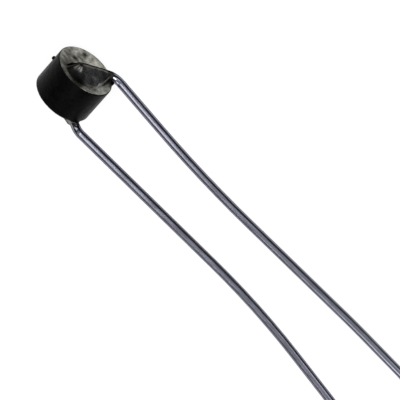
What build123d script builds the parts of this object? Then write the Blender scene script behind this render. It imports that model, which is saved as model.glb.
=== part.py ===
"""Bare disc thermistor: a black ceramic pellet, silvered on both faces, with two soldered wire leads.

Lengths are millimetres and angles are degrees. The part lies as it comes to rest, on the lower
edge of the pellet and the tips of its two leads. X runs along the leads and Z is up.

The pellet, its films and its solder are made in the pellet's own frame. That has its origin at the
pellet's centre, +Z out of the front face, and X along the row's X. The leads start in that frame
and end in the row's frame.
"""

import os
from math import atan2, cos, degrees, hypot, radians, sin

from build123d import *

# Pellet
pellet_diameter = 3.5
pellet_thickness = 2.3
pellet_edge_radius = 0.08
# Lean of the pellet's axis from upright, towards +Y
pellet_lean = 57.3

# Flash nub left on the pellet's side by the press: its size, place round the side and depth below the front face
nub_radius = 0.12
nub_angle = 184.0
nub_depth = 0.74

# Silver films: thickness, and the bare ring left inside the rounded edge
film_thickness = 0.03
film_margin = 0.02

# Wire: size, length from the bend at the rim to the tip, and the solder left under it on the face
wire_diameter = 0.5
lead_length = 38.0
solder_bed = 0.02

# Solder: coat over the wire, how far it runs past the pellet's rim (less than nothing where it stops
# short of it), and the foot and crest of its mound
front_coat = 0.03
front_coat_overrun = -0.12
back_coat = 0.07
back_coat_overrun = 0.05
mound_foot_radius = 1.2
mound_crest_width = 0.2
mound_crest_drop = 0.05
front_mound_x = -0.05
front_mound_y = -0.42
back_mound_x = 0.35
back_mound_y = -0.1

# Front lead: where the wire ends on the face, its direction there, and the bend past the rim
front_end_x = -0.348
front_end_y = -0.6
front_angle = 44.6
front_past_rim = 0.0
front_bend_radius = 1.2
# Front lead past the rim: heading from +X and length of each run, and the radius of the bend that ends it
front_first_heading = -6.3
front_first_run = 7.35
front_first_bend = 80.0
front_second_heading = -1.1
front_second_run = 11.65
front_second_bend = 60.0
front_tip_heading = -2.8

# Back lead, in the same order
back_end_x = -0.45
back_end_y = 0.75
back_angle = -36.3
back_past_rim = 0.43
back_bend_radius = 0.7
back_first_heading = -1.35
back_first_run = 13.7
back_first_bend = 50.0
back_tip_heading = -9.1

# Sizes that follow from the ones above
pellet_radius = pellet_diameter / 2
wire_radius = wire_diameter / 2
film_radius = pellet_radius - pellet_edge_radius - film_margin
face_height = pellet_thickness / 2 + film_thickness
wire_height = face_height + solder_bed + wire_radius
pellet_centre_height = (
    (pellet_radius - pellet_edge_radius) * sin(radians(pellet_lean))
    + (pellet_thickness / 2 - pellet_edge_radius) * cos(radians(pellet_lean))
    + pellet_edge_radius
)
pellet_place = Location((0, 0, pellet_centre_height), (-pellet_lean, 0, 0))


def ceramic_pellet():
    """Pressed disc with rounded edges and the small flash nub on its side."""
    disc = Cylinder(pellet_radius, pellet_thickness)
    disc = fillet(disc.edges().filter_by(GeomType.CIRCLE), pellet_edge_radius)
    nub_x = pellet_radius * cos(radians(nub_angle))
    nub_y = pellet_radius * sin(radians(nub_angle))
    nub = Pos(nub_x, nub_y, pellet_thickness / 2 - nub_depth) * Sphere(nub_radius)
    return disc + nub


def silver_film(side):
    """Fired silver film on the face at +Z (side 1) or -Z (side -1)."""
    middle = side * (pellet_thickness + film_thickness) / 2
    return Pos(0, 0, middle) * Cylinder(film_radius, film_thickness)


def rim_corner(end_x, end_y, angle, past_rim):
    """Where the wire's line on the face is past_rim outside the pellet's edge."""
    reach = pellet_radius + past_rim
    along = end_x * cos(radians(angle)) + end_y * sin(radians(angle))
    across = hypot(end_x, end_y) ** 2 - along**2
    run = (reach**2 - across) ** 0.5 - along
    return end_x + run * cos(radians(angle)), end_y + run * sin(radians(angle))


def to_row(x, y, z):
    """A point in the pellet's frame, given in the row's frame."""
    return pellet_place.position + Vector(x, y, z).rotate(Axis.X, -pellet_lean)


def lead_points(side, end, corner, runs, tip_heading):
    """The lead's corner points in the row's frame: on the face, past the rim, then down to the floor."""
    start = to_row(end[0], end[1], side * wire_height)
    bend = to_row(corner[0], corner[1], side * wire_height)
    last_run = lead_length - sum(run for heading, run in runs)
    steps = runs + [(tip_heading, last_run)]
    fall = (bend.Z - wire_radius) / lead_length
    points = [start, bend]
    for heading, run in steps:
        step = Vector(run * cos(radians(heading)), run * sin(radians(heading)), -run * fall)
        points.append(points[-1] + step)
    return points


def wire_lead(points, radii):
    """Round wire along straight runs joined by tangent arcs."""
    route = FilletPolyline(*points, radius=radii)
    section = Plane(origin=points[0], z_dir=points[1] - points[0]) * Circle(wire_radius)
    return sweep(section, path=route)


def solder_mound(side, end, corner, foot, coat, coat_overrun, lead):
    """Mound of solder that climbs from a round foot to a crest along the wire, without the wire itself."""
    run = hypot(corner[0] - end[0], corner[1] - end[1])
    angle = degrees(atan2(corner[1] - end[1], corner[0] - end[0]))
    middle = ((end[0] + corner[0]) / 2, (end[1] + corner[1]) / 2)
    crest_height = wire_height + wire_radius + coat - mound_crest_drop

    foot_face = Pos(foot[0], foot[1], side * face_height) * Circle(mound_foot_radius)
    crest_face = SlotCenterToCenter(run, mound_crest_width)
    crest_face = Pos(middle[0], middle[1], side * crest_height) * Rot(0, 0, angle) * crest_face
    mound = loft([foot_face, crest_face], ruled=True)
    mound &= face_column(side, film_radius)

    sleeve_end = Pos(end[0], end[1], side * wire_height)
    sleeve_plane = Plane(origin=sleeve_end.position, z_dir=(cos(radians(angle)), sin(radians(angle)), 0))
    sleeve = extrude(sleeve_plane * Circle(wire_radius + coat), run)
    sleeve += sleeve_end * Sphere(wire_radius + coat)
    sleeve &= face_column(side, pellet_radius + coat_overrun)
    return (mound + sleeve) - pellet_place.inverse() * lead


def face_column(side, radius):
    """The space over a silvered face, out to a radius and far taller than the solder."""
    tall = pellet_diameter
    return Pos(0, 0, side * (face_height + tall / 2)) * Cylinder(radius, tall)


front_end = (front_end_x, front_end_y)
front_foot = (front_mound_x, front_mound_y)
front_corner = rim_corner(front_end_x, front_end_y, front_angle, front_past_rim)
front_runs = [(front_first_heading, front_first_run), (front_second_heading, front_second_run)]
front_points = lead_points(1, front_end, front_corner, front_runs, front_tip_heading)
front_lead = wire_lead(front_points, [front_bend_radius, front_first_bend, front_second_bend])
front_solder = solder_mound(
    1, front_end, front_corner, front_foot, front_coat, front_coat_overrun, front_lead
)

back_end = (back_end_x, back_end_y)
back_foot = (back_mound_x, back_mound_y)
back_corner = rim_corner(back_end_x, back_end_y, back_angle, back_past_rim)
back_runs = [(back_first_heading, back_first_run)]
back_points = lead_points(-1, back_end, back_corner, back_runs, back_tip_heading)
back_lead = wire_lead(back_points, [back_bend_radius, back_first_bend])
back_solder = solder_mound(-1, back_end, back_corner, back_foot, back_coat, back_coat_overrun, back_lead)

pieces = {
    "ceramic_pellet": pellet_place * ceramic_pellet(),
    "front_electrode": pellet_place * silver_film(1),
    "back_electrode": pellet_place * silver_film(-1),
    "front_solder": pellet_place * front_solder,
    "back_solder": pellet_place * back_solder,
    "front_lead": front_lead,
    "back_lead": back_lead,
}

# The row's origin is on the floor, under the middle of the whole part
whole = Compound(children=[Compound(piece.solids()) for piece in pieces.values()])
bounds = whole.bounding_box()
to_origin = Pos(-bounds.center().X, -bounds.center().Y, -bounds.min.Z)

os.makedirs("parts", exist_ok=True)
for name, piece in pieces.items():
    export_step(to_origin * piece, f"parts/{name}.step")
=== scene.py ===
"""Bare disc thermistor: the looks of its pellet, films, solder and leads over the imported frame.

The pellet, films and solder are shaped in the pellet's own frame, in millimetres: its origin is the
pellet's centre, +Z comes out of the front face and +X runs along the part. The leads are shaped in the
part's frame, in millimetres too. Each finished mesh is then turned into place and scaled to metres.
"""

from math import cos, exp, hypot, pi, radians, sin, sqrt, tan

import bmesh
import bpy
from mathutils import Matrix, Vector, noise


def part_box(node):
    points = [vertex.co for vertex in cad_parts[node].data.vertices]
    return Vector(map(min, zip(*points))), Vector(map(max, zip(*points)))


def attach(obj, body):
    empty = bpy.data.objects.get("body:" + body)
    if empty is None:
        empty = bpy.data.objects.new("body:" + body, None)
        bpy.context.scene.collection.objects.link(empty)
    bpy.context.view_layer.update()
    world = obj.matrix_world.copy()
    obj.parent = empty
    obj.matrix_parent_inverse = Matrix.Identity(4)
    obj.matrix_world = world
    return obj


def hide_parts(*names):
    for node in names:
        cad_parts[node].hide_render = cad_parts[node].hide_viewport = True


bl_info = {
    "name": "Disc thermistor",
    "version": (1, 0, 0),
    "blender": (4, 5, 0),
    "location": "View3D > Sidebar > Thermistor",
    "description": "Makes a bare disc thermistor with soldered wire leads, and a plain studio for it",
    "category": "Add Mesh",
}

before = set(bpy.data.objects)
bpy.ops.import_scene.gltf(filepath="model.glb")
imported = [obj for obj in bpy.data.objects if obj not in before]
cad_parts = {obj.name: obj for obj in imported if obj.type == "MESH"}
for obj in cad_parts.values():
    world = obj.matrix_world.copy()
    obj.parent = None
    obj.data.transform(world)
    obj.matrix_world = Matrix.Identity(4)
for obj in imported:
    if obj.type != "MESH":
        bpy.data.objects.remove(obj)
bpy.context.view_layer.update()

METRES = 0.001


def middle_of(node):
    """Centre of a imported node's box, in the part's frame."""
    low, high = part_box(node)
    return (Vector(low) + Vector(high)) / 2


FRONT_FACE = middle_of("front_electrode")
BACK_FACE = middle_of("back_electrode")
PELLET_CENTRE = (FRONT_FACE + BACK_FACE) / 2
PELLET_AXIS = (FRONT_FACE - BACK_FACE).normalized()


def pellet_place():
    """Turns the pellet's frame in millimetres into the part's frame in metres."""
    along = Vector((1, 0, 0))
    across = PELLET_AXIS.cross(along)
    turn = Matrix((along, across, PELLET_AXIS)).transposed().to_4x4()
    return Matrix.Translation(PELLET_CENTRE) @ turn @ Matrix.Scale(METRES, 4)


# Settings


def length(label, text, millimetres):
    """A length that a user may change, kept in metres."""
    return bpy.props.FloatProperty(
        name=label, description=text, default=millimetres * METRES, unit="LENGTH", precision=5
    )


def angle(label, text, degrees):
    """An angle that a user may change, kept in radians."""
    return bpy.props.FloatProperty(
        name=label, description=text, default=radians(degrees), unit="ROTATION"
    )


def colour(label, text, shade):
    """A colour that a user may change."""
    return bpy.props.FloatVectorProperty(
        name=label, description=text, default=shade, size=3, subtype="COLOR", min=0, max=1
    )


class PelletSettings(bpy.types.PropertyGroup):
    diameter: length("Diameter", "Across the pressed ceramic disc", 3.5)
    thickness: length("Thickness", "Between the two faces of the ceramic", 2.3)
    edge_radius: length("Edge radius", "Rounding of the two rims", 0.08)
    nub_radius: length("Nub radius", "Size of the flash left by the press", 0.12)
    nub_angle: angle("Nub angle", "Place of the flash round the side", 184)
    nub_depth: length("Nub depth", "From the front face to the flash", 0.74)
    ceramic: colour("Ceramic", "Sintered metal oxide", (0.002, 0.002, 0.0022))


class FilmSettings(bpy.types.PropertyGroup):
    radius: length("Radius", "Silver film on each face", 1.65)
    thickness: length("Thickness", "Fired silver film", 0.03)
    silver: colour("Silver", "Dull tinned silver", (0.388, 0.387, 0.348))
    # This colour darkens the metals where their stain attribute says so: tarnished patches and pits, and
    # painted shade too
    tarnish_and_painted_shade: colour("Tarnish", "Dark patches and pits in the silver", (0.038, 0.036, 0.032))


class SolderSettings(bpy.types.PropertyGroup):
    front_coat: length("Front coat", "Solder over the front wire", 0.03)
    back_coat: length("Back coat", "Solder over the back wire", 0.07)
    foot_radius: length("Foot radius", "Round foot of each mound", 1.2)
    crest_radius: length("Crest radius", "Half the width of each crest", 0.1)
    crest_drop: length("Crest drop", "From the top of the coat to the crest", 0.05)
    metal: colour("Metal", "Tin and lead solder", (0.28, 0.278, 0.272))


class LeadSettings(bpy.types.PropertyGroup):
    wire_diameter: length("Wire diameter", "Tinned copper wire", 0.5)
    bed: length("Solder bed", "Solder left under the wire on the face", 0.02)
    length: length("Length", "From the bend at the rim to the tip", 38)
    tin: colour("Tin", "Tinned surface of the wire", (0.265, 0.268, 0.325))
    copper: colour("Copper", "Cut end of the wire", (0.6, 0.26, 0.14))


class StageSettings(bpy.types.PropertyGroup):
    floor: colour("Floor", "Plain floor", (0.9, 0.9, 0.9))
    camera_height: length("Camera height", "Above the floor", 200)
    camera_turn: angle("Camera turn", "Round the line of sight", 43)
    frame_width: length("Frame width", "Seen at the pellet's centre", 21.84)


# Each lead in millimetres and degrees. It ends on the face of its side and leaves at an angle for the rim, or
# a little past it, where it bends. Each run after that has a heading from +X, a length and the radius of the
# bend that ends it. The solder has the middle of its round foot, its reach from the pellet's centre and the
# lip that it hangs over the rim under the wire. The last is how strongly the ridge and the wire up to the
# first bend are painted dark: painted shade that stands for dark reflections there.
LEADS = {
    "front": {
        "side": 1,
        "end": (-0.348, -0.6),
        "angle": 44.6,
        "past_rim": 0.0,
        "rim_bend": 1.2,
        "runs": ((-6.3, 7.35, 80.0), (-1.1, 11.65, 60.0)),
        "tip_heading": -2.8,
        "foot": (-0.05, -0.42),
        "reach": 1.63,
        "lip": 0.24,
        "painted_shade": 1.0,
    },
    "back": {
        "side": -1,
        "end": (-0.45, 0.75),
        "angle": -36.3,
        "past_rim": 0.43,
        "rim_bend": 0.7,
        "runs": ((-1.35, 13.7, 50.0),),
        "tip_heading": -9.1,
        "foot": (0.35, -0.1),
        "reach": 1.64,
        "lip": 0.22,
        "painted_shade": 0.0,
    },
}


def millimetres(value):
    """A setting in metres, in millimetres."""
    return value / METRES


def wire_radius():
    return millimetres(bpy.context.scene.thermistor_leads.wire_diameter) / 2


def film_top():
    """Height of the silvered face over the pellet's centre."""
    scene = bpy.context.scene
    return millimetres(scene.thermistor_pellet.thickness / 2 + scene.thermistor_film.thickness)


def wire_height():
    """Height of the wire's middle over the pellet's centre."""
    return film_top() + millimetres(bpy.context.scene.thermistor_leads.bed) + wire_radius()


def rim_corner(lead):
    """Where the wire's line on the face meets the rim, or the circle past it."""
    reach = millimetres(bpy.context.scene.thermistor_pellet.diameter) / 2 + lead["past_rim"]
    heading = Vector((cos(radians(lead["angle"])), sin(radians(lead["angle"]))))
    end = Vector(lead["end"])
    along = end.dot(heading)
    run = sqrt(reach**2 - (end.length_squared - along**2)) - along
    return end + run * heading


def lead_corners(lead):
    """Corners of the wire's route in the part's frame, in millimetres."""
    place = Matrix.Scale(1 / METRES, 4) @ pellet_place()
    height = lead["side"] * wire_height()
    start = place @ Vector((*lead["end"], height))
    bend = place @ Vector((*rim_corner(lead), height))
    total = millimetres(bpy.context.scene.thermistor_leads.length)
    fall = (bend.z - wire_radius()) / total
    runs = [(heading, run) for heading, run, radius in lead["runs"]]
    runs.append((lead["tip_heading"], total - sum(run for heading, run in runs)))
    corners = [start, bend]
    for heading, run in runs:
        step = Vector((cos(radians(heading)), sin(radians(heading)), -fall)) * run
        corners.append(corners[-1] + step)
    return corners


# Mesh helpers


def keep_piece(bm, name, place, materials, node, sharp=50):
    """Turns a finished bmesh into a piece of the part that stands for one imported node."""
    bmesh.ops.recalc_face_normals(bm, faces=bm.faces)
    for face in bm.faces:
        face.smooth = True
    for edge in bm.edges:
        edge.smooth = not edge.is_manifold or edge.calc_face_angle(0) < radians(sharp)
    bmesh.ops.transform(bm, matrix=place, verts=bm.verts)
    mesh = bpy.data.meshes.new(name)
    bm.to_mesh(mesh)
    bm.free()
    for material in materials:
        mesh.materials.append(material)
    piece = bpy.data.objects.new(name, mesh)
    bpy.context.scene.collection.objects.link(piece)
    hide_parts(node)
    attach(piece, "root")
    return piece


def spun_disc(bm, profile, segments):
    """Closed round solid from a profile of (radius, height) points that starts and ends on the axis."""
    chain = [bm.verts.new((radius, 0, height)) for radius, height in profile]
    edges = [bm.edges.new(pair) for pair in zip(chain, chain[1:])]
    bmesh.ops.spin(
        bm, geom=chain + edges, cent=(0, 0, 0), axis=(0, 0, 1), angle=2 * pi, steps=segments, use_merge=True
    )
    bmesh.ops.remove_doubles(bm, verts=bm.verts, dist=1e-5)


def unevenness(x, y, z, grain):
    """Smooth noise from -1 to 1 whose lumps are about the grain apart."""
    return noise.noise(Vector((x, y, z)) / grain)


def dent(x, y, at, radius, depth):
    """Depth of a soft round dent."""
    return depth * exp(-(((x - at[0]) ** 2 + (y - at[1]) ** 2) / radius**2))


# Ceramic pellet


def make_pellet():
    settings = bpy.context.scene.thermistor_pellet
    radius = millimetres(settings.diameter) / 2
    thickness = millimetres(settings.thickness)
    bm = bmesh.new()
    bmesh.ops.create_cone(
        bm, cap_ends=True, segments=256, radius1=radius, radius2=radius, depth=thickness
    )
    rims = [edge for edge in bm.edges if abs(edge.verts[0].co.z - edge.verts[1].co.z) < 1e-6]
    bmesh.ops.bevel(
        bm,
        geom=rims,
        offset=millimetres(settings.edge_radius),
        offset_type="OFFSET",
        segments=6,
        profile=0.5,
        affect="EDGES",
        material=-1,
    )
    nub_radius = millimetres(settings.nub_radius)
    nub_at = Matrix.Rotation(settings.nub_angle, 4, "Z") @ Matrix.Translation(
        (radius, 0, thickness / 2 - millimetres(settings.nub_depth))
    )
    nub = bmesh.ops.create_icosphere(bm, subdivisions=4, radius=nub_radius, matrix=nub_at)["verts"]
    roughness, lump = 0.02, 0.08
    for vert in nub:
        vert.co += vert.co.normalized() * roughness * unevenness(*vert.co, lump)
    keep_piece(
        bm, "ceramic_pellet_body", pellet_place(), [black_ceramic()], "ceramic_pellet"
    )


# Silver films


# Edge of a film, from its flat face to its foot in the ceramic: millimetres past its radius, and height as a
# share of its thickness
FILM_EDGE = ((0.02, 0.85), (0.045, 0.4), (0.055, -0.5))

# Place, radius and depth of each pit in a film
FRONT_PITS = (
    ((-0.65, 1.07), 0.14, 0.013),
    ((-0.9, 0.16), 0.12, 0.008),
    ((-0.2, 1.3), 0.06, 0.007),
)
BACK_PITS = (
    ((0.7, 1.05), 0.1, 0.012),
    ((-1.0, -0.5), 0.08, 0.009),
)

# A pit this deep is as dark as tarnish, and a pit's stain has this many times its radius
DARK_PIT = 0.014
PIT_STAIN = 1.5

# Place, radius and strength of each darkened patch on a film and its solder. On the front they are tarnish in
# part and painted shade in part: painted shadow and dark reflection round the solder and under the wire at
# the rim
FRONT_STAINS_AND_PAINTED_SHADE = (
    ((-1.3, 0.1), 0.55, 0.55),
    ((-0.55, 0.55), 0.35, 0.3),
    ((1.35, -0.35), 0.45, 0.3),
    ((-1.3, -0.9), 0.6, 0.5),
    ((-0.6, -1.45), 0.6, 0.65),
    ((0.2, -1.6), 0.5, 0.8),
    ((0.95, -1.0), 0.45, 0.65),
    ((-0.85, -0.3), 0.4, 0.25),
    ((-0.7, -0.85), 0.3, 0.7),
    ((0.3, -1.4), 0.4, 0.4),
    ((1.2, 0.15), 0.28, 0.6),
    ((1.34, 0.58), 0.25, 0.8),
    ((1.2, 0.85), 0.35, 0.8),
    ((1.3, 1.0), 0.35, 1.0),
    ((1.6, 0.8), 0.2, 0.4),
)
# On the back the patches are tarnish
BACK_STAINS = (
    ((-1.1, 0.4), 0.5, 0.5),
    ((0.8, -1.1), 0.6, 0.4),
)


def make_film(name, node, side, pits, stains_and_painted_shade):
    """Fired film with a ragged rounded edge, a gently uneven face, a few pits and darkened patches: tarnished
    ones, and painted shade on the front.
    """
    settings = bpy.context.scene.thermistor_film
    radius = millimetres(settings.radius)
    thickness = millimetres(settings.thickness)
    face = film_top() - thickness
    flat = radius - 0.02
    rings = 60
    profile = [(0, face + thickness)]
    profile += [(flat * ring / rings, face + thickness) for ring in range(1, rings + 1)]
    profile += [(radius + past, face + share * thickness) for past, share in FILM_EDGE]
    profile.append((0, profile[-1][1]))
    bm = bmesh.new()
    spun_disc(bm, profile, 240)
    ragged_ring = 0.1
    raggedness, ragged_grain = 0.006, 0.35
    waviness, wavy_grain, calm_ring = 0.006, 0.3, 0.15
    # The stain attribute darkens the film: pits and tarnish, and on the front painted shade too
    stain_and_painted_shade = bm.verts.layers.float.new("stain_and_painted_shade")
    for vert in bm.verts:
        x, y, z = vert.co
        from_middle = hypot(x, y)
        dark = sum(dent(x, y, at, PIT_STAIN * size, depth / DARK_PIT) for at, size, depth in pits)
        vert[stain_and_painted_shade] = min(1.0, dark + sum(dent(x, y, at, size, share) for at, size, share in stains_and_painted_shade))
        if from_middle > radius - ragged_ring:
            ragged = 1 + raggedness * unevenness(x, y, side, ragged_grain)
            vert.co.x *= ragged
            vert.co.y *= ragged
        if z > face + 0.8 * thickness:
            fade = min(1.0, (flat - from_middle) / calm_ring)
            vert.co.z += fade * waviness * unevenness(x, y, 3 + side, wavy_grain)
            vert.co.z -= sum(dent(x, y, at, size, depth) for at, size, depth in pits)
    if side < 0:
        bmesh.ops.transform(bm, matrix=Matrix.Scale(-1, 4, (0, 0, 1)), verts=bm.verts)
    keep_piece(bm, name, pellet_place(), [tinned_silver()], node)


# Solder


def cone_share(point, foot, aim, foot_radius, crest_radius):
    """How far up a cone from the round foot to a small disc round the aim its wall is over the point."""
    slope = aim - foot
    shrink = foot_radius - crest_radius
    square = slope.length_squared - shrink**2
    middle = (point - foot).dot(slope) - foot_radius * shrink
    rest = (point - foot).length_squared - foot_radius**2
    under = middle**2 - square * rest
    if under < 0 or (square > 0 and middle - sqrt(under) > square):
        return -abs(under)
    return min(1.0, (middle + sqrt(under)) / square)


def crest_share(point, end, corner, foot, foot_radius, crest_radius):
    """How far up the mound its wall is over the point: 0 at the round foot, 1 at the crest over the wire."""
    low, high = 0.0, 1.0
    for step in range(8):
        third = (high - low) / 3
        shares = [
            cone_share(point, foot, end.lerp(corner, at), foot_radius, crest_radius)
            for at in (low + third, high - third)
        ]
        if shares[0] < shares[1]:
            low += third
        else:
            high -= third
    return cone_share(point, foot, end.lerp(corner, (low + high) / 2), foot_radius, crest_radius)


def off_line(point, start, stop):
    """The point's distance from a line between two points."""
    line = stop - start
    run = max(0.0, min(1.0, (point - start).dot(line) / line.length_squared))
    return (point - start - run * line).length


def soft_top(first, second, blend):
    """The higher of two heights, with a fillet where they cross."""
    mix = max(0.0, min(1.0, 0.5 + 0.5 * (first - second) / blend))
    return second + (first - second) * mix + blend * mix * (1 - mix)


def smooth_step(value, low, high):
    """0 below low, 1 above high and smooth between them."""
    share = max(0.0, min(1.0, (value - low) / (high - low)))
    return share * share * (3 - 2 * share)


def far_side_of(end, corner):
    """Direction across the wire's line on the face, away from the solder's foot."""
    heading = (corner - end).normalized()
    return Vector((-heading.y, heading.x))


def solder_height(x, y, lead, coat, reach):
    """Height of the solder over the film at (x, y), a little under it outside the joint."""
    settings = bpy.context.scene.thermistor_solder
    point = Vector((x, y))
    end = Vector(lead["end"])
    corner = rim_corner(lead)
    far_side = far_side_of(end, corner)
    ridge_shift = 0.06
    away = off_line(point + ridge_shift * far_side, end, corner)
    inside = reach - point.length
    leaving = 1 - smooth_step(inside, 0.1, 0.5)

    # The mound is dished at its toe, climbs evenly from there, and falls more steeply on the wire's far side
    foot_radius = millimetres(settings.foot_radius)
    crest_radius = millimetres(settings.crest_radius)
    middle = millimetres(bpy.context.scene.thermistor_leads.bed) + wire_radius()
    crest = middle + wire_radius() + coat - millimetres(settings.crest_drop)
    squeeze = 1.6
    spot = point + squeeze * max(0.0, (point - end).dot(far_side)) * far_side
    share = crest_share(spot, end, corner, Vector(lead["foot"]), foot_radius, crest_radius)
    toe = 0.32
    climb = max(0.0, share) ** 2 / (2 * toe) if share < toe else share - toe / 2
    mound = crest / (1 - toe / 2) * climb

    # Over the wire the solder is round down to its flanks, which are straight, and a fillet joins it to the
    # mound. Near the rim it thins until the wire comes out of it
    extra, sunk = 0.02, 0.04
    sleeve = wire_radius() + (coat + extra) * (1 - leaving) - sunk * leaving
    flank = 0.85 * sleeve
    flank_slope = 1.6
    ridge = middle + sqrt(sleeve**2 - min(away, flank) ** 2) - flank_slope * max(0.0, away - flank)
    fillet = 0.14
    height = soft_top(mound, ridge, fillet) * smooth_step(inside, -0.05, 0.3)
    under_film = 0.025
    outside = under_film * (1 - smooth_step(height, 0.0, 0.02))
    return height - outside


def make_solder(name, node, lead, coat, stains_and_painted_shade):
    """Mound of solder that climbs from the film to a ridge over the wire, as a spun disc pulled up."""
    settings = bpy.context.scene.thermistor_film
    reach = lead["reach"]
    rings = 90
    base = film_top() - 0.6 * millimetres(settings.thickness)
    top = film_top()
    on_top = top - 1e-4
    profile = [(0, top)] + [(reach * ring / rings, top) for ring in range(1, rings + 1)]
    profile += [(reach, base), (0, base)]
    bm = bmesh.new()
    spun_disc(bm, profile, 260)
    stain_and_painted_shade = bm.verts.layers.float.new("stain_and_painted_shade")
    end = Vector(lead["end"])
    corner = rim_corner(lead)
    heading = (corner - end).normalized()
    far_side = far_side_of(end, corner)
    skin = [vert for vert in bm.verts if vert.co.z > on_top]

    # Under the wire the rim of the disc is drawn out into a lip that hangs over the pellet's edge
    lips = {}
    lip_middle = corner - 0.15 * far_side
    lip_width = 0.2
    for vert in bm.verts:
        flat = vert.co.xy
        turned = flat.angle(lip_middle, 0.0)
        lips[vert] = exp(-((turned / lip_width) ** 2)) * smooth_step(flat.length, 0.9, reach)
        vert.co.xy = flat * (1 + lead["lip"] * lips[vert] / reach)

    # The skin is pulled up to the solder's height. Where the lead asks for it, the ridge is painted dark:
    # painted shade that stands for a dark reflection along the crest.
    lip_droop = 0.2
    ridge_width = 0.16
    for vert in bm.verts:
        x, y, z = vert.co
        if z > on_top:
            vert.co.z += solder_height(x, y, lead, coat, reach + lead["lip"] * lips[vert])
        else:
            vert.co.z -= lip_droop * lead["lip"] * lips[vert]
        beyond = Vector((x, y)) - end
        # Painted shade: a dark band along the crest, fading in from the wire's end
        ridge = exp(-((beyond.dot(far_side) / ridge_width) ** 2))
        ridge *= smooth_step(beyond.dot(heading), -0.5, 0.1)
        ridge *= lead["painted_shade"]
        vert[stain_and_painted_shade] = min(1.0, ridge + sum(dent(x, y, at, size, share) for at, size, share in stains_and_painted_shade))

    # The skin is smoothed as surface tension does it, then gets fine lumps that fade where it is thin
    for step in range(30):
        bmesh.ops.smooth_vert(bm, verts=skin, factor=0.5, use_axis_z=True)
    for vert in skin:
        x, y, z = vert.co
        lumps = 0.012 * unevenness(x, y, lead["side"], 0.5) + 0.002 * unevenness(x, y, 7, 0.16)
        vert.co.z += lumps * max(0.0, min(1.0, (z - top) / 0.1))
    if lead["side"] < 0:
        bmesh.ops.transform(bm, matrix=Matrix.Scale(-1, 4, (0, 0, 1)), verts=bm.verts)
    keep_piece(bm, name, pellet_place(), [soft_solder()], node, sharp=70)


# Leads


def loop_edges(verts):
    """Edges that join the given vertices to each other."""
    ring = set(verts)
    return list({edge for vert in verts for edge in vert.link_edges if edge.other_vert(vert) in ring})


def push_ring(bm, ring, step):
    """Extrudes a ring of vertices by a step and gives the new ring."""
    made = bmesh.ops.extrude_edge_only(bm, edges=loop_edges(ring))["geom"]
    ring = [item for item in made if isinstance(item, bmesh.types.BMVert)]
    bmesh.ops.translate(bm, verts=ring, vec=step)
    return ring


def bend_ring(bm, ring, centre, axis, turn):
    """Spins a ring of vertices round a bend and gives the new ring."""
    step_turn = radians(2.5)
    steps = max(6, int(turn / step_turn))
    made = bmesh.ops.spin(
        bm, geom=ring + loop_edges(ring), cent=centre, axis=axis, angle=turn, steps=steps
    )["geom_last"]
    return [item for item in made if isinstance(item, bmesh.types.BMVert)]


def make_lead(name, node, lead):
    """Round wire, pushed along each straight run and spun round each bend, with a cut copper end."""
    corners = lead_corners(lead)
    radii = [lead["rim_bend"]] + [radius for heading, run, radius in lead["runs"]]
    here = corners[0]
    facing = (corners[1] - here).to_track_quat("Z", "Y").to_matrix().to_4x4()
    bm = bmesh.new()
    ring = bmesh.ops.create_circle(
        bm, cap_ends=False, segments=56, radius=wire_radius(), matrix=Matrix.Translation(here) @ facing
    )["verts"]
    bmesh.ops.edgeloop_fill(bm, edges=loop_edges(ring))
    for corner, after, radius in zip(corners[1:], corners[2:], radii):
        arriving = (corner - here).normalized()
        leaving = (after - corner).normalized()
        turn = arriving.angle(leaving)
        cut = radius * tan(turn / 2)
        ring = push_ring(bm, ring, corner - cut * arriving - here)
        axis = arriving.cross(leaving).normalized()
        centre = corner - cut * arriving + radius * axis.cross(arriving)
        ring = bend_ring(bm, ring, centre, axis, turn)
        here = corner + cut * leaving
    ring = push_ring(bm, ring, corners[-1] - here)
    bmesh.ops.edgeloop_fill(bm, edges=loop_edges(ring), mat_nr=1)
    rounded = bmesh.ops.bevel(
        bm,
        geom=loop_edges(ring),
        offset=0.03,
        offset_type="OFFSET",
        segments=3,
        profile=0.5,
        affect="EDGES",
        material=-1,
    )["faces"]
    for face in rounded:
        face.material_index = 0

    # Where the lead asks for it, the wire is painted dark up to the bend at the rim: painted shade that
    # stands for the dark reflection by the joint
    stain_and_painted_shade = bm.verts.layers.float.new("stain_and_painted_shade")
    leaving = (corners[2] - corners[1]).normalized()
    for vert in bm.verts:
        past_bend = (vert.co - corners[1]).dot(leaving)
        vert[stain_and_painted_shade] = lead["painted_shade"] * (1 - smooth_step(past_bend, -0.3, 0.02))
    keep_piece(
        bm, name, Matrix.Scale(METRES, 4), [tinned_copper(), cut_copper()], node
    )


# Materials


def new_material(name):
    """A material with a Principled shader, its node tree and its shader."""
    material = bpy.data.materials.new(name)
    material.use_nodes = True
    tree = material.node_tree
    tree.nodes.clear()
    output = tree.nodes.new("ShaderNodeOutputMaterial")
    shader = tree.nodes.new("ShaderNodeBsdfPrincipled")
    tree.links.new(shader.outputs["BSDF"], output.inputs["Surface"])
    return material, tree, shader


def grain(tree, size, stretch=(1, 1, 1), detail=3.0, roughness=0.5):
    """Noise on object coordinates whose lumps are about size millimetres apart."""
    where = tree.nodes.new("ShaderNodeTexCoord")
    mapping = tree.nodes.new("ShaderNodeMapping")
    mapping.inputs["Scale"].default_value = stretch
    texture = tree.nodes.new("ShaderNodeTexNoise")
    texture.inputs["Scale"].default_value = 1 / (size * METRES)
    texture.inputs["Detail"].default_value = detail
    texture.inputs["Roughness"].default_value = roughness
    tree.links.new(where.outputs["Object"], mapping.inputs["Vector"])
    tree.links.new(mapping.outputs["Vector"], texture.inputs["Vector"])
    return texture.outputs["Fac"]


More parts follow.
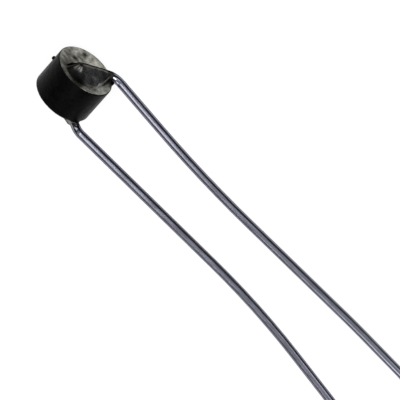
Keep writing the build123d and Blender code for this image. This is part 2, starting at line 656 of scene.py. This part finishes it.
def ramp(tree, value, low, high, dark, light):
    """Turns a value between low and high into a colour between dark and light."""
    node = tree.nodes.new("ShaderNodeValToRGB")
    node.color_ramp.elements[0].position = low
    node.color_ramp.elements[1].position = high
    node.color_ramp.elements[0].color = (*dark, 1)
    node.color_ramp.elements[1].color = (*light, 1)
    tree.links.new(value, node.inputs["Fac"])
    return node.outputs["Color"]


def spread(tree, value, low, high, least, most):
    """Turns a value between low and high into a number between least and most."""
    node = tree.nodes.new("ShaderNodeMapRange")
    node.inputs["From Min"].default_value = low
    node.inputs["From Max"].default_value = high
    node.inputs["To Min"].default_value = least
    node.inputs["To Max"].default_value = most
    tree.links.new(value, node.inputs["Value"])
    return node.outputs["Result"]


def relief(tree, shader, value, depth, under=None):
    """Bumps the surface by a value, depth millimetres high."""
    node = tree.nodes.new("ShaderNodeBump")
    node.inputs["Strength"].default_value = 1.0
    node.inputs["Distance"].default_value = depth * METRES
    tree.links.new(value, node.inputs["Height"])
    if under:
        tree.links.new(under, node.inputs["Normal"])
    tree.links.new(node.outputs["Normal"], shader.inputs["Normal"])
    return node.outputs["Normal"]


def shaded(shade, share):
    """A colour made darker or lighter by a share."""
    return tuple(min(1.0, part * share) for part in shade)


def black_ceramic():
    """Sintered metal oxide: near black and satin, with a fine grain and faint mottling."""
    shade = bpy.context.scene.thermistor_pellet.ceramic
    material, tree, shader = new_material("black_ceramic")
    mottle = grain(tree, 0.5, detail=4.0)
    tree.links.new(
        ramp(tree, mottle, 0.3, 0.7, shaded(shade, 0.55), shaded(shade, 1.7)), shader.inputs["Base Color"]
    )
    tree.links.new(spread(tree, grain(tree, 0.25), 0.3, 0.7, 0.3, 0.42), shader.inputs["Roughness"])
    shader.inputs["Specular IOR Level"].default_value = 0.04
    coarse = relief(tree, shader, grain(tree, 0.35, detail=2.0), 0.02)
    relief(tree, shader, grain(tree, 0.08, detail=4.0, roughness=0.6), 0.012, coarse)
    return material


def tarnish_and_painted_shade(tree, shader, clean):
    """Darkens a clean metal's colour where the mesh's stain attribute says so: tarnished patches, pits and
    painted shade.
    """
    stain_and_painted_shade = tree.nodes.new("ShaderNodeAttribute")
    stain_and_painted_shade.attribute_name = "stain_and_painted_shade"
    mixed = tree.nodes.new("ShaderNodeMix")
    mixed.data_type = "RGBA"
    mixed.inputs["B"].default_value = (*bpy.context.scene.thermistor_film.tarnish_and_painted_shade, 1)
    tree.links.new(stain_and_painted_shade.outputs["Fac"], mixed.inputs["Factor"])
    tree.links.new(clean, mixed.inputs["A"])
    tree.links.new(mixed.outputs["Result"], shader.inputs["Base Color"])


def tinned_silver():
    """Silver film that solder has wetted: matt grey, mottled, with dark specks, tarnished patches and painted
    shade.
    """
    shade = bpy.context.scene.thermistor_film.silver
    material, tree, shader = new_material("tinned_silver")
    cloud = grain(tree, 0.3, detail=6.0, roughness=0.6)
    tarnish_and_painted_shade(tree, shader, ramp(tree, cloud, 0.36, 0.64, shaded(shade, 0.5), shaded(shade, 1.5)))
    shader.inputs["Metallic"].default_value = 1.0
    shader.inputs["Specular Tint"].default_value = (0.0, 0.0, 0.0, 1.0)
    tree.links.new(spread(tree, grain(tree, 0.2), 0.3, 0.7, 0.3, 0.5), shader.inputs["Roughness"])
    coarse = relief(tree, shader, grain(tree, 0.25, detail=3.0), 0.02)
    relief(tree, shader, grain(tree, 0.05, detail=2.0), 0.004, coarse)
    return material


def soft_solder():
    """Solder that set with a smooth skin, darkened in places by tarnished patches and by painted shade."""
    shade = bpy.context.scene.thermistor_solder.metal
    material, tree, shader = new_material("soft_solder")
    cloud = grain(tree, 0.35, detail=5.0)
    tarnish_and_painted_shade(tree, shader, ramp(tree, cloud, 0.34, 0.66, shaded(shade, 0.6), shaded(shade, 1.25)))
    shader.inputs["Metallic"].default_value = 1.0
    shader.inputs["Specular Tint"].default_value = (0.0, 0.0, 0.0, 1.0)
    tree.links.new(spread(tree, grain(tree, 0.3), 0.3, 0.7, 0.18, 0.28), shader.inputs["Roughness"])
    coarse = relief(tree, shader, grain(tree, 0.3, detail=1.0), 0.003)
    relief(tree, shader, grain(tree, 0.08, detail=2.0), 0.0004, coarse)
    return material


def tinned_copper():
    """Tinned wire: grey, smooth, faintly drawn out along its length, and painted darker by the joint as
    painted shade.
    """
    shade = bpy.context.scene.thermistor_leads.tin
    material, tree, shader = new_material("tinned_copper")
    drawn = grain(tree, 0.12, stretch=(0.12, 1, 1), detail=4.0)
    tarnish_and_painted_shade(tree, shader, ramp(tree, drawn, 0.3, 0.7, shaded(shade, 0.85), shaded(shade, 1.12)))
    shader.inputs["Metallic"].default_value = 1.0
    shader.inputs["Specular Tint"].default_value = (0.0, 0.0, 0.0, 1.0)
    tree.links.new(spread(tree, drawn, 0.3, 0.7, 0.1, 0.2), shader.inputs["Roughness"])
    lumps = relief(tree, shader, grain(tree, 0.6, stretch=(0.4, 1, 1), detail=1.0), 0.006)
    relief(tree, shader, grain(tree, 0.1, stretch=(0.1, 1, 1), detail=1.0), 0.0002, lumps)
    return material


def cut_copper():
    """Bare copper where the wire was cut, smeared with tin."""
    leads = bpy.context.scene.thermistor_leads
    material, tree, shader = new_material("cut_copper")
    smear = ramp(tree, grain(tree, 0.15, stretch=(1, 1, 3)), 0.42, 0.6, tuple(leads.copper), tuple(leads.tin))
    tree.links.new(smear, shader.inputs["Base Color"])
    shader.inputs["Metallic"].default_value = 1.0
    shader.inputs["Roughness"].default_value = 0.35
    relief(tree, shader, grain(tree, 0.04, stretch=(1, 1, 5)), 0.004)
    return material


# What the camera and reflections see of the floor: its own glow, and a dim shade that takes the shadow
FLOOR_GLOW = 0.87
SHADOW_SHADE = (0.24, 0.24, 0.24)


def plain_floor():
    """Pale floor that lights the part as it is, and that shows as white with a soft shadow."""
    shade = bpy.context.scene.thermistor_stage.floor
    material = bpy.data.materials.new("plain_floor")
    material.use_nodes = True
    tree = material.node_tree
    tree.nodes.clear()
    output = tree.nodes.new("ShaderNodeOutputMaterial")
    choice = tree.nodes.new("ShaderNodeMixShader")
    lit = tree.nodes.new("ShaderNodeBsdfDiffuse")
    lit.inputs["Color"].default_value = (*shade, 1)
    shadow = tree.nodes.new("ShaderNodeBsdfDiffuse")
    shadow.inputs["Color"].default_value = (*SHADOW_SHADE, 1)
    white = tree.nodes.new("ShaderNodeEmission")
    white.inputs["Strength"].default_value = FLOOR_GLOW
    both = tree.nodes.new("ShaderNodeAddShader")
    path = tree.nodes.new("ShaderNodeLightPath")
    seen = tree.nodes.new("ShaderNodeMath")
    seen.operation = "MAXIMUM"
    shown = tree.nodes.new("ShaderNodeMath")
    shown.operation = "MAXIMUM"
    tree.links.new(path.outputs["Is Camera Ray"], seen.inputs[0])
    tree.links.new(path.outputs["Is Glossy Ray"], seen.inputs[1])
    tree.links.new(seen.outputs[0], shown.inputs[0])
    tree.links.new(path.outputs["Is Transmission Ray"], shown.inputs[1])
    tree.links.new(shadow.outputs[0], both.inputs[0])
    tree.links.new(white.outputs[0], both.inputs[1])
    tree.links.new(shown.outputs[0], choice.inputs["Fac"])
    tree.links.new(lit.outputs[0], choice.inputs[1])
    tree.links.new(both.outputs[0], choice.inputs[2])
    tree.links.new(choice.outputs[0], output.inputs["Surface"])
    return material


# Stage


# Where the lamps aim, and the middle of the picture, from the pellet's centre in metres
LAMP_AIM = Vector((0.009, 0, 0))
PICTURE_X, PICTURE_Y = 0.009349, 0.000052

# Each lamp's name, place from where it aims, width and height in metres, and power in watts
LAMPS = (
    ("top_box", (0.04, -0.09, 0.33), 0.5, 0.74, 0.56),
    ("near_box", (-0.0215, -0.05, 0.3), 0.057, 0.34, 0.16),
    ("side_box", (0.11, -0.32, 0.24), 0.12, 0.13, 0.17),
    ("far_box", (0.14, 0.19, 0.3), 0.12, 0.12, 0.06),
    ("left_box", (-0.28, 0.05, 0.22), 0.2, 0.3, 0.33),
    ("right_box", (0.25, 0, 0.25), 0.1, 0.19, 0.42),
)

# The dim room round the lamps
ROOM_COLOUR = (0.9, 0.95, 1.0)
ROOM_STRENGTH = 0.06


def soft_box(name, offset, width, height, power):
    """Plain rectangular lamp that faces the near ends of the leads."""
    lamp = bpy.data.lights.new(name, "AREA")
    lamp.shape = "RECTANGLE"
    lamp.size = width
    lamp.size_y = height
    lamp.energy = power
    back = Vector(offset).normalized()
    side = Vector((0, 1, 0)).cross(back).normalized()
    holder = bpy.data.objects.new(name, lamp)
    holder.location = PELLET_CENTRE + LAMP_AIM + Vector(offset)
    holder.rotation_euler = Matrix((side, back.cross(side), back)).transposed().to_euler()
    bpy.context.scene.collection.objects.link(holder)


def make_stage():
    scene = bpy.context.scene
    settings = scene.thermistor_stage
    bm = bmesh.new()
    bmesh.ops.create_circle(bm, cap_ends=True, segments=96, radius=3.0)
    mesh = bpy.data.meshes.new("floor")
    bm.to_mesh(mesh)
    bm.free()
    mesh.materials.append(plain_floor())
    floor = bpy.data.objects.new("floor", mesh)
    scene.collection.objects.link(floor)

    world = bpy.data.worlds.new("dim_room")
    world.use_nodes = True
    room = world.node_tree.nodes["Background"]
    room.inputs["Color"].default_value = (*ROOM_COLOUR, 1)
    room.inputs["Strength"].default_value = ROOM_STRENGTH
    scene.world = world
    for lamp in LAMPS:
        soft_box(*lamp)

    camera = bpy.data.cameras.new("camera")
    distance = settings.camera_height - PELLET_CENTRE.z
    camera.lens = camera.sensor_width * distance / settings.frame_width
    camera.clip_start = 0.01
    camera.clip_end = 10
    seat = bpy.data.objects.new("camera", camera)
    seat.location = (PELLET_CENTRE.x + PICTURE_X, PELLET_CENTRE.y + PICTURE_Y, settings.camera_height)
    seat.rotation_euler = (0, 0, settings.camera_turn)
    scene.collection.objects.link(seat)
    scene.camera = seat
    scene.view_settings.view_transform = "Standard"


# Operators


class THERMISTOR_OT_pellet(bpy.types.Operator):
    """Make the pressed ceramic pellet"""

    bl_idname = "thermistor.pellet"
    bl_label = "Ceramic pellet"

    def execute(self, context):
        make_pellet()
        return {"FINISHED"}


class THERMISTOR_OT_films(bpy.types.Operator):
    """Make the silver films on both faces"""

    bl_idname = "thermistor.films"
    bl_label = "Silver films"

    def execute(self, context):
        make_film("front_film", "front_electrode", 1, FRONT_PITS, FRONT_STAINS_AND_PAINTED_SHADE)
        make_film("back_film", "back_electrode", -1, BACK_PITS, BACK_STAINS)
        return {"FINISHED"}


class THERMISTOR_OT_solder(bpy.types.Operator):
    """Make the solder mounds over the ends of both leads"""

    bl_idname = "thermistor.solder"
    bl_label = "Solder mounds"

    def execute(self, context):
        settings = context.scene.thermistor_solder
        front_coat = millimetres(settings.front_coat)
        back_coat = millimetres(settings.back_coat)
        make_solder("front_mound", "front_solder", LEADS["front"], front_coat, FRONT_STAINS_AND_PAINTED_SHADE)
        make_solder("back_mound", "back_solder", LEADS["back"], back_coat, BACK_STAINS)
        return {"FINISHED"}


class THERMISTOR_OT_leads(bpy.types.Operator):
    """Make both tinned wire leads"""

    bl_idname = "thermistor.leads"
    bl_label = "Wire leads"

    def execute(self, context):
        make_lead("front_wire", "front_lead", LEADS["front"])
        make_lead("back_wire", "back_lead", LEADS["back"])
        return {"FINISHED"}


class THERMISTOR_OT_stage(bpy.types.Operator):
    """Make the floor, the lamps and the camera"""

    bl_idname = "thermistor.stage"
    bl_label = "Stage"

    def execute(self, context):
        make_stage()
        return {"FINISHED"}


class THERMISTOR_PT_panel(bpy.types.Panel):
    """Lists the thermistor's settings and the steps that make it"""

    bl_label = "Thermistor"
    bl_idname = "THERMISTOR_PT_panel"
    bl_space_type = "VIEW_3D"
    bl_region_type = "UI"
    bl_category = "Thermistor"

    def draw(self, context):
        for group, step in SECTIONS:
            box = self.layout.box()
            settings = getattr(context.scene, group)
            for name in settings.__annotations__:
                box.prop(settings, name)
            box.operator(step)


SECTIONS = (
    ("thermistor_pellet", "thermistor.pellet"),
    ("thermistor_film", "thermistor.films"),
    ("thermistor_solder", "thermistor.solder"),
    ("thermistor_leads", "thermistor.leads"),
    ("thermistor_stage", "thermistor.stage"),
)

SETTINGS = {
    "thermistor_pellet": PelletSettings,
    "thermistor_film": FilmSettings,
    "thermistor_solder": SolderSettings,
    "thermistor_leads": LeadSettings,
    "thermistor_stage": StageSettings,
}

STEPS = (
    THERMISTOR_OT_pellet,
    THERMISTOR_OT_films,
    THERMISTOR_OT_solder,
    THERMISTOR_OT_leads,
    THERMISTOR_OT_stage,
    THERMISTOR_PT_panel,
)


def register():
    for name, group in SETTINGS.items():
        bpy.utils.register_class(group)
        setattr(bpy.types.Scene, name, bpy.props.PointerProperty(type=group))
    for step in STEPS:
        bpy.utils.register_class(step)


def unregister():
    for step in reversed(STEPS):
        bpy.utils.unregister_class(step)
    for name, group in SETTINGS.items():
        delattr(bpy.types.Scene, name)
        bpy.utils.unregister_class(group)


def main():
    register()
    bpy.ops.thermistor.pellet()
    bpy.ops.thermistor.films()
    bpy.ops.thermistor.solder()
    bpy.ops.thermistor.leads()
    bpy.ops.thermistor.stage()


if __name__ == "__main__":
    main()
